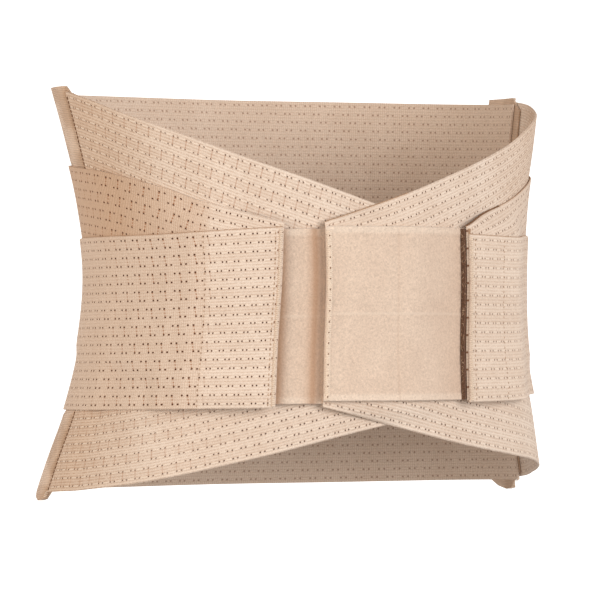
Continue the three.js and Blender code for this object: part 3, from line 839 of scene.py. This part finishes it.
# Shade is painted shade on the pile: beside the right strap's end, beside the left panel's edge and under
# the straps, where their shadows fall.
RIGHT_FRONT_PANEL = table(
    PANEL_COLUMNS + ("shade",),
    (-60, 53, -53, ON_WINGS, 1),
    (-32.3, 53.2, -53, ON_WINGS, 0.95),
    (-31.4, 53.2, -53, ON_WINGS, 0.55),
    (-30.3, 53.2, -53, ON_WINGS, 0.15),
    (-29, 53.2, -53, ON_WINGS, 0.02),
    (-25.5, 53.3, -53, ON_WINGS, 0.12),
    (-24.1, 53.3, -53, ON_WINGS, 0.42),
    (-23, 53.3, -53, ON_WINGS, 0.85),
    (-21.9, 53.3, -53, ON_WINGS, 0.9),
    (-21.1, 53.3, -53, ON_WINGS, 0.4),
    (-19.5, 53.3, -53, ON_WINGS, 0),
    (7, 53.5, -53, ON_WINGS, 0),
)
# Here shade paints shade on the left panel's pile towards the left strap's hook.
LEFT_FRONT_PANEL = table(
    PANEL_COLUMNS + ("shade",),
    (LEFT_FRONT_END, 54.8, -51.2, ON_PILE + ON_WINGS, 0),
    (8, 55, -51.5, ON_PILE + ON_WINGS, 0.03),
    (30, 54.4, -51.7, ON_WINGS, 0.3),
    (48, 53, -52, ON_WINGS, 0.2),
)
PANEL_CELL = 1.6
HEM = 4.2
HEM_RISE = 0.35
HEM_FADE = 1.2
FOLD_ALONG = 47
FOLD_DEPTH = 0.25
FOLD_WIDTH = 1.6
RIDGE = 52.8  # from the nearer edge to the pale middle crease
RIDGE_FADE = 1.0
NEEDLE_INSET = 2.2
NEEDLE_RISE = 0.6
# An overlock thread from its inner end over the raw end: how it climbs, and how it stands out.
OVERLOCK_PITCH = 1.2
OVERLOCK_CLIMB = np.array((0, 0.2, 0.6, 0.75, 0.8))
OVERLOCK_DEPTH = np.array((0.9, 1, 1, 0.6, 0.1))
OVERLOCK_RISE = np.array((0, 0.25, 0.25, 0, 0))


def even_edges(length):
    """Edges of even cells, with a narrow one at each end for the rounding."""
    inner = np.linspace(EDGE_ROUND, length - EDGE_ROUND, int(length / PANEL_CELL) + 1)
    return [0.0, *inner.tolist(), length]


def plush_mesh(name, cut):
    """A panel of pile cloth with folded hems, charted from its end and its nearer hem in millimetres."""
    flat = lay_out(cut)
    length, width = flat["length"], flat["width"]
    bm, _ = flat_wall(even_edges(length), even_edges(width), PLUSH_CLOTH)
    chart = bm.loops.layers.uv.new("pile")
    for vert in bm.verts:
        from_edge = min(vert.co.y, width - vert.co.y)
        if vert.co.z > PLUSH_CLOTH / 2 and EDGE_ROUND / 2 < from_edge < HEM:
            vert.co.z += HEM_RISE
        elif vert.co.z > PLUSH_CLOTH / 2:
            vert.co.z -= FOLD_DEPTH * math.exp(-(((vert.co.x - FOLD_ALONG) / FOLD_WIDTH) ** 2))
            vert.co.z += FOLD_DEPTH * math.exp(-(((vert.co.y - width / 2) / FOLD_WIDTH) ** 2))
    for face in bm.faces:
        for loop in face.loops:
            place = loop.vert.co
            loop[chart].uv = (place.x, min(place.y, width - place.y))
    return worn_mesh(name, bm, cut, flat, WALL_CREASE), flat


PILE_DULL = (0.695, 0.54, 0.43)
PILE_BRIGHT = (0.735, 0.58, 0.465)
# Paler colour of the folded hems and of the raised middle crease.
PILE_PALE = (0.84, 0.70, 0.58)
# The colour of the painted shade on the pile.
PILE_PAINTED_SHADE = (0.39, 0.195, 0.095)
HEM_TINT = 0.55
RIDGE_TINT = 0.3
# A faint line of painted shade along the upright fold.
FOLD_SHADE = 0.1


def plush_pile():
    """Beige loop pile: a soft mottled grain, paler on the folded hems and the middle crease, with painted
    shade beside the edges of the layers over it and along the upright fold.
    """
    material, tree, shader = new_material("plush_pile")
    place = on_piece(tree)
    along, from_edge = on_chart(tree, "pile")
    cloudy = ramp(tree, noise(tree, place, scale=35, detail=3.0), low=0.3, high=0.7)
    tufts = noise(tree, place, scale=620, detail=3.0, roughness=0.6)
    fine = noise(tree, place, scale=1000, detail=3.0, roughness=0.65)
    hem = inverse(tree, ramp(tree, from_edge, HEM - HEM_FADE, HEM + HEM_FADE))
    ridge = ramp(tree, from_edge, RIDGE - RIDGE_FADE, RIDGE)
    off_fold = calc(tree, "ABSOLUTE", calc(tree, "SUBTRACT", along, FOLD_ALONG))
    fold = inverse(tree, ramp(tree, off_fold, low=0.3, high=1.2))
    colour = mix(tree, cloudy, PILE_DULL, PILE_BRIGHT)
    colour = mix(tree, times(tree, hem, HEM_TINT), colour, PILE_PALE)
    colour = shade_by(tree, colour, ramp(tree, tufts, low=0.25, high=0.75), low=0.91, high=1.08)
    colour = shade_by(tree, colour, fine, low=0.70, high=1.30)
    colour = mix(tree, times(tree, ridge, RIDGE_TINT), colour, PILE_PALE)
    # Painted shade: pressed is how much painted shade darkens the pile where the layers over it shade it,
    # and faintly along the upright fold.
    pressed = line(tree, look_of(tree, "shade"), slope=0.75, start=times(tree, fold, FOLD_SHADE))
    colour = mix(tree, pressed, colour, PILE_PAINTED_SHADE)
    surface(tree, shader, colour, roughness=0.95, specular=0.1, sheen=0.3, sheen_roughness=0.6)
    bump(tree, shader, line(tree, fine, slope=0.4, start=tufts), depth=0.0006, strength=0.7)
    return material


def overlocked_end(flat, thickness, at_end, reach):
    """Paths of slanting threads that reach in from a cut's raw end and go over it."""
    up = np.arange(BARE_END, flat["width"] - 2 * BARE_END, OVERLOCK_PITCH)[:, None] + OVERLOCK_CLIMB
    inward = np.array((reach, reach - 0.6, 0.8, 0.25, 0.3))
    out = thickness * OVERLOCK_DEPTH + OVERLOCK_RISE
    return paths_of(from_end(flat, inward, at_end), up, out)


PLUSH = plush_pile()
for node, cut, under, at_end in (
    ("right_front_panel", RIGHT_FRONT_PANEL, "right_upper_wing_cloth", True),
    ("left_front_panel", LEFT_FRONT_PANEL, "left_upper_wing_cloth", False),
):
    mesh, flat = plush_mesh(node + "_plush", cut)
    piece = place_piece(node + "_plush", mesh, PLUSH, node)
    overlock = overlocked_end(flat, PLUSH_CLOTH, at_end, reach=3.8)
    sew(node + "_overlock", cut, flat, overlock, PALE_THREAD, radius=0.7)
    needle_line = from_end(flat, NEEDLE_INSET, at_end)
    needles = stitched_line(flat, needle_line, PLUSH_CLOTH + NEEDLE_RISE, length=1.3, gap=5.2, bare=2)
    sew(node + "_needle_stitches", cut, flat, needles, SEAM_THREAD, radius=0.4)

# Strap hooks
# Brown hook tape sewn under the end of each pair of straps, which grips the pile of the panel below.
# On the left its hooks show past the strap's end, as a dark line with torn hairs of the pile in it.
RIGHT_HOOK = 1.6
LEFT_HOOK = 2.6
RIGHT_STRAP_END = -32.7
RIGHT_END = (RIGHT_STRAP_END, 0.7, 0.55)  # its angle, bow and slant
LEFT_STRAP_END = 30.0
LEFT_END = (LEFT_STRAP_END, -1.2, 0.7)
RIGHT_HOOK_START = -52
LEFT_HOOK_START = 47.5
PAD_SHIFT = 0.6  # degrees: the right pad stops short of its strap's end, and the left one shows past it
RIGHT_STRAP_HOOK = table(
    PANEL_COLUMNS,
    (RIGHT_HOOK_START, 50, -53, ON_PILE),
    (RIGHT_STRAP_END - PAD_SHIFT, 53, -52.5, ON_PILE),
    end=RIGHT_END,
)
LEFT_STRAP_HOOK = table(
    PANEL_COLUMNS,
    (LEFT_STRAP_END - PAD_SHIFT, 54, -51.5, ON_PILE),
    (LEFT_HOOK_START, 51, -50.5, ON_PILE),
    end=LEFT_END,
)
HAIR_COUNT = 130
HAIR_SEED = 7
HAIR_PAST = -0.6
HAIR_DEEP = 1.5
HAIR_REACH = 1.8
HAIR_ARCH = 0.5
HAIR_CURL = 1.5
HAIR_ROOTS = (0.2, 0.95)  # lowest and highest, as shares of the pad's thickness


def hook_tape_mesh(name, cut, thickness):
    """A pad of hook tape as a thin wall."""
    flat = lay_out(cut)
    bm, _ = flat_wall(even_edges(flat["length"]), even_edges(flat["width"]), thickness)
    return worn_mesh(name, bm, cut, flat, WALL_CREASE), flat


HOOK_DARK = (0.07, 0.027, 0.011)
HOOK_BROWN = (0.19, 0.088, 0.042)


def hook_bristle():
    """Brown moulded hooks, seen only as a rough dark edge."""
    material, tree, shader = new_material("hook_bristle")
    bristle = noise(tree, on_piece(tree), scale=1300)
    colour = mix(tree, ramp(tree, bristle, low=0.35, high=0.7), HOOK_DARK, HOOK_BROWN)
    surface(tree, shader, colour, roughness=0.6)
    bump(tree, shader, bristle, depth=0.0008, strength=0.8)
    return material


def torn_hairs(flat, thickness, at_end):
    """Paths of hairs of pile caught in the hooks along the end of a pad."""
    rng = np.random.default_rng(HAIR_SEED)
    start = rng.uniform((HAIR_PAST, BARE_END), (HAIR_DEEP, flat["width"] - BARE_END), (HAIR_COUNT, 2))
    reach = rng.normal(0, HAIR_REACH, (HAIR_COUNT, 2))
    share = np.linspace(0, 1, 4)
    inward = start[:, :1] + reach[:, :1] * share
    up = start[:, 1:] + reach[:, 1:] * share**HAIR_CURL
    out = thickness * rng.uniform(*HAIR_ROOTS, (HAIR_COUNT, 1)) + np.sin(share * math.pi) * HAIR_ARCH
    return paths_of(from_end(flat, inward, at_end), up, out)


HOOK = hook_bristle()
DULL_THREAD = spun_thread("dull_thread", (0.40, 0.26, 0.165), (0.58, 0.40, 0.28))
for node, cut, thickness, under, at_end in (
    ("right_strap_hook", RIGHT_STRAP_HOOK, RIGHT_HOOK, "right_front_panel_plush", True),
    ("left_strap_hook", LEFT_STRAP_HOOK, LEFT_HOOK, "left_front_panel_plush", False),
):
    mesh, flat = hook_tape_mesh(node + "_tape", cut, thickness)
    piece = place_piece(node + "_tape", mesh, HOOK, node)
    sew(node + "_hairs", cut, flat, torn_hairs(flat, thickness, at_end), DULL_THREAD, radius=0.13)

# Tension straps
# Two outer bands of the knit on each side, sewn down on the back and pulled forward over the wings.
# They end together at the front, overlocked and backed with hook tape, which keeps the knit unstretched.
ON_RIGHT_PAD = ON_PILE + RIGHT_HOOK + GAP
ON_LEFT_PAD = ON_PILE + LEFT_HOOK + GAP
ON_BACK = 2.0
STRAP_COLUMNS = DRAPED_COLUMNS + ("ladder",)
RIGHT_UPPER_STRAP = table(
    STRAP_COLUMNS,
    (-158, 97, -12, ON_BACK, 54, ON_BACK, 1.28, 0.55, 0.7, 0.3),
    (-113, 95.5, -13.5, ON_BACK, 54, ON_BACK, 1.28, 0.25, 0.8, 0.4),
    (-104.5, 94.5, -14.5, ON_SEAM, 54, ON_SEAM, 1.4, 0, 0.9, 0.6),
    (-84.5, 90, -19, ON_SEAM, 54, ON_SEAM, 1.4, 0, 0.9, 0.8),
    (-77, 86.8, -23, ON_WINGS, 54, ON_WINGS, 1.4, 0, 0.8, 1),
    (-68, 81.5, -29, ON_WINGS, 54, ON_WINGS, 1.4, 0.2, 0.8, 1),
    (-61, 76.8, -35, ON_PILE, 54, ON_WINGS, 1.4, 0.35, 0.8, 1),
    (-55, 71.2, -40.3, ON_RIGHT_PAD, 54, ON_WINGS, 1.4, 0.4, 1, 1),
    (-52, 69.2, -42.5, ON_RIGHT_PAD, 54, ON_WINGS, 1.2, 0.5, 1, 0.8),
    (-50, 67.8, -43.9, ON_RIGHT_PAD, 54, ON_WINGS, 1, 0.75, 1, 0),
    (-42, 62.8, -49, ON_RIGHT_PAD, 54, ON_WINGS, 1, 0.75, 1, 0),
    (RIGHT_STRAP_END, 57, -53, ON_RIGHT_PAD, 54, ON_WINGS, 1, 0.75, 1, 0),
    drapes=1,
    end=RIGHT_END,
)
RIGHT_LOWER_STRAP = table(
    STRAP_COLUMNS,
    (-158, 46, -62, ON_BACK + LAYER, -12, ON_BACK, 1.28, 0.55, 0.7, 0.3),
    (-113, 48, -60, ON_BACK + LAYER, -13.5, ON_BACK, 1.28, 0.45, 0.8, 0.3),
    (-104.5, 48.5, -59, ON_SEAM + LAYER, -14.5, ON_SEAM, 1.4, 0.4, 0.7, 0.1),
    (-84.5, 48.9, -57.8, ON_SEAM + LAYER, -19, ON_SEAM, 1.5, 0.5, 0.9, 0.2),
    (-77, 49.1, -57.3, ON_WINGS + LAYER, -23, LAYER, 1.5, 0.56, 0.9, 0.6),
    (-68, 49.4, -56.7, ON_WINGS + LAYER, -29, LAYER, 1.5, 0.6, 1, 0.8),
    (-61, 50, -56.2, ON_PILE + LAYER, -35, ON_PILE, 1.5, 0.62, 1, 0.8),
    (-55, 50.8, -55.8, ON_RIGHT_PAD + LAYER, -40.3, ON_RIGHT_PAD, 1.5, 0.62, 1, 0.8),
    (-52, 51.2, -55.7, ON_RIGHT_PAD + LAYER, -42.5, ON_RIGHT_PAD, 1.25, 0.62, 1, 0.8),
    (-50, 51.5, -55.6, ON_RIGHT_PAD + LAYER, -43.9, ON_RIGHT_PAD, 1, 0.8, 0.9, 0),
    (-42, 52.7, -55.4, ON_RIGHT_PAD + LAYER, -49, ON_RIGHT_PAD, 1, 0.8, 0.9, 0),
    (RIGHT_STRAP_END, 54, -55, ON_RIGHT_PAD + LAYER, -52, ON_RIGHT_PAD, 1, 0.8, 0.9, 0),
    drapes=-1,
    end=RIGHT_END,
)
LEFT_UPPER_STRAP = table(
    STRAP_COLUMNS,
    (LEFT_STRAP_END, 55.5, -52, ON_LEFT_PAD, 54, ON_WINGS, 1, 0.7, 0.9, 0),
    (38, 62.8, -47, ON_LEFT_PAD, 54, ON_WINGS, 1, 0.7, 0.9, 0),
    (50, 71.5, -36.5, ON_LEFT_PAD, 54, ON_WINGS, 1.1, 0.7, 0.9, 0),
    (62, 82, -25.5, ON_WINGS, 54, ON_WINGS, 1.25, 0.6, 0.8, 0.5),
    (70, 88, -21.5, ON_WINGS, 54, ON_WINGS, 1.28, 0.5, 0.9, 0.8),
    (77, 90.2, -19.4, ON_WINGS, 54, ON_WINGS, 1.28, 0.2, 1, 1),
    (84.5, 92.2, -17.3, ON_SEAM, 54, ON_SEAM, 1.28, 0, 1, 0.8),
    (104.5, 95, -14.5, ON_SEAM, 54, ON_SEAM, 1.28, 0, 0.9, 0.5),
    (113, 95.5, -13.5, ON_BACK, 54, ON_BACK, 1.28, 0.25, 0.8, 0.4),
    (158, 97, -12, ON_BACK, 54, ON_BACK, 1.28, 0.55, 0.7, 0.3),
    drapes=1,
    end=LEFT_END,
)
LEFT_LOWER_STRAP = table(
    STRAP_COLUMNS,
    (LEFT_STRAP_END, 50.5, -53, ON_LEFT_PAD + LAYER, -52, ON_LEFT_PAD, 1, 0.7, 0.5, 0),
    (50, 49.3, -52.4, ON_LEFT_PAD + LAYER, -36.5, ON_LEFT_PAD, 1.1, 0.7, 0.5, 0),
    (62, 50.6, -50, ON_WINGS + LAYER, -25.5, ON_WINGS, 1.25, 0.6, 0.6, 0.3),
    (77, 50.4, -50.8, ON_WINGS + LAYER, -19.4, ON_WINGS, 1.28, 0.4, 0.8, 1),
    (84.5, 49.8, -52.5, ON_SEAM + LAYER, -17.3, ON_SEAM, 1.28, 0.3, 0.9, 0.5),
    (104.5, 48.5, -57, ON_SEAM + LAYER, -14.5, ON_SEAM, 1.28, 0.3, 0.9, 0.3),
    (113, 48, -59, ON_BACK + LAYER, -13.5, ON_BACK, 1.28, 0.4, 0.8, 0.3),
    (158, 46, -62, ON_BACK + LAYER, -12, ON_BACK, 1.28, 0.55, 0.7, 0.3),
    drapes=-1,
    end=LEFT_END,
)
HOOK_SEWN_AT = {"right": RIGHT_HOOK_START, "left": 43.5}
# Where the dark line of the hook pad's edge and painted shadow ends.
HOOK_RIM_AND_SHADOW_END = 48
# Angle from which a dark thread of painted shadow runs along the straps' upper edges.
EDGE_SHADOW_FROM = 100
END_SEAM_INSET = 4.2
BEIGE_THREAD = spun_thread("beige_thread", (0.72, 0.57, 0.45), (0.82, 0.68, 0.56))
for node, cut, under, mirrored in (
    ("right_upper_strap", RIGHT_UPPER_STRAP, ["right_strap_hook_tape", "right_stay_tape_cloth"], True),
    ("right_lower_strap", RIGHT_LOWER_STRAP, ["right_upper_strap_cloth"], False),
    ("left_upper_strap", LEFT_UPPER_STRAP, ["left_strap_hook_tape", "left_stay_tape_cloth"], True),
    ("left_lower_strap", LEFT_LOWER_STRAP, ["left_upper_strap_cloth"], False),
):
    flat = elastic_piece(node, cut, CLOTH, mirrored)
    side_name = node.split("_")[0]
    on_right = side_name == "right"
    overlock = overlocked_end(flat, CLOTH, on_right, reach=2.4)
    # The left upper strap's overlock is brown: painted shade on the strap's end wall.
    thread = EDGE_SHADOW_THREAD if node == "left_upper_strap" else BEIGE_THREAD
    sew(node + "_overlock", cut, flat, overlock, thread, radius=0.6)
    end_seam = stitched_line(flat, from_end(flat, END_SEAM_INSET, on_right), CLOTH, length=2.0, gap=1.0)
    sew(node + "_end_stitches", cut, flat, end_seam, DULL_THREAD, radius=0.25)
    # Painted shadow: a dark thread along the strap's upper edge towards its front.
    if node != "right_upper_strap":
        front = (-EDGE_SHADOW_FROM, RIGHT_STRAP_END) if on_right else (LEFT_STRAP_END, EDGE_SHADOW_FROM)
        sew(node + "_edge", cut, flat, edge_shadow_thread(flat, *front), EDGE_SHADOW_THREAD, radius=0.25)
    if "lower" in node:
        hook_line = np.interp(HOOK_SEWN_AT[side_name], flat["angle"], flat["along"])
        hook_seam = stitched_line(flat, hook_line, CLOTH, length=1.6, gap=1.6)
        sew(node + "_hook_stitches", cut, flat, hook_seam, DULL_THREAD, radius=0.25)
    # A dark thread along the strap's upper edge over its hook pad: the pad's dark edge, and painted shadow
    # under the strap's edge.
    if node == "left_upper_strap":
        rim_and_shadow = edge_shadow_thread(flat, LEFT_STRAP_END, HOOK_RIM_AND_SHADOW_END)
        sew("left_strap_hook_rim_and_shadow", cut, flat, rim_and_shadow, SEAM_THREAD, radius=0.7)

# Studio
# A white sweep well below the brace, a broad soft key from the viewer's right and a weaker fill.
# The camera stands level at the wearer's front right, far enough away to flatten the perspective.
VIEW_ANGLE = math.radians(-25)
VIEW_DISTANCE = 2.3
VIEW_HEIGHT = 0.010
VIEW_ASIDE = -0.0041
LENS = 216.96
SENSOR = 36
FLOOR = -0.42
FLOOR_FRONT = 4.0
FLOOR_WIDTH = 16
FLOOR_RUN = 14.0
COVE = 1.5  # radius of the curve from floor to backdrop
COVE_START = 0.5
COVE_END = 0.75


def view_place(right, near, up):
    """A place given to the viewer's right, towards the viewer and up, in metres."""
    cos, sin = math.cos(VIEW_ANGLE), math.sin(VIEW_ANGLE)
    return (right * cos + near * sin, right * sin - near * cos, up)


def sweep():
    """A floor that curves up into a backdrop."""
    bm = bmesh.new()
    bmesh.ops.create_grid(bm, x_segments=1, y_segments=24, size=0.5)
    for vert in bm.verts:
        run = vert.co.y + 0.5
        turn = min(max((run - COVE_START) / (COVE_END - COVE_START), 0), 1) * math.pi / 2
        near = FLOOR_FRONT - FLOOR_RUN * min(run, COVE_START) - COVE * math.sin(turn)
        up = FLOOR + COVE * (1 - math.cos(turn)) + FLOOR_RUN * max(run - COVE_END, 0)
        vert.co = view_place(FLOOR_WIDTH * vert.co.x, near, up)
    bmesh.ops.recalc_face_normals(bm, faces=bm.faces)
    mesh = smooth_mesh("sweep", bm)
    floor = add_object("sweep", mesh)
    material, tree, shader = new_material("white_sweep")
    set_inputs(tree, shader, {
        "Base Color": (0.9, 0.9, 0.9, 1), "Roughness": 0.95,
        "Emission Color": (1, 1, 1, 1), "Emission Strength": 0.9,
    })
    mesh.materials.append(material)
    floor.visible_diffuse = False


sweep()


def softbox(name, place, size, power, colour):
    """A square area light aimed at the brace."""
    lamp = bpy.data.lights.new(name, "AREA")
    lamp.energy = power
    lamp.size = size
    lamp.color = colour
    light = add_object(name, lamp)
    light.location = place
    aim = Vector((0, 0, VIEW_HEIGHT)) - Vector(place)
    light.rotation_euler = aim.to_track_quat("-Z", "Y").to_euler()


softbox("key", view_place(1.8, 1.7, 0.45), size=1.6, power=43.5, colour=(1.0, 0.98, 0.955))
softbox("fill", view_place(-1.8, 1.4, 0.2), size=1.4, power=29, colour=(1.0, 0.88, 0.75))

world = bpy.data.worlds.new("studio")
world.use_nodes = True
backdrop = world.node_tree.nodes["Background"]
set_inputs(world.node_tree, backdrop, {"Color": (1, 0.945, 0.89, 1), "Strength": 0.43})
bpy.context.scene.world = world
bpy.context.scene.view_settings.view_transform = "Standard"

camera_data = bpy.data.cameras.new("camera")
camera_data.lens = LENS
camera_data.sensor_width = SENSOR
camera = add_object("camera", camera_data)
camera.location = view_place(VIEW_ASIDE, VIEW_DISTANCE, VIEW_HEIGHT)
camera.rotation_euler = (math.pi / 2, 0, VIEW_ANGLE)
bpy.context.scene.camera = camera
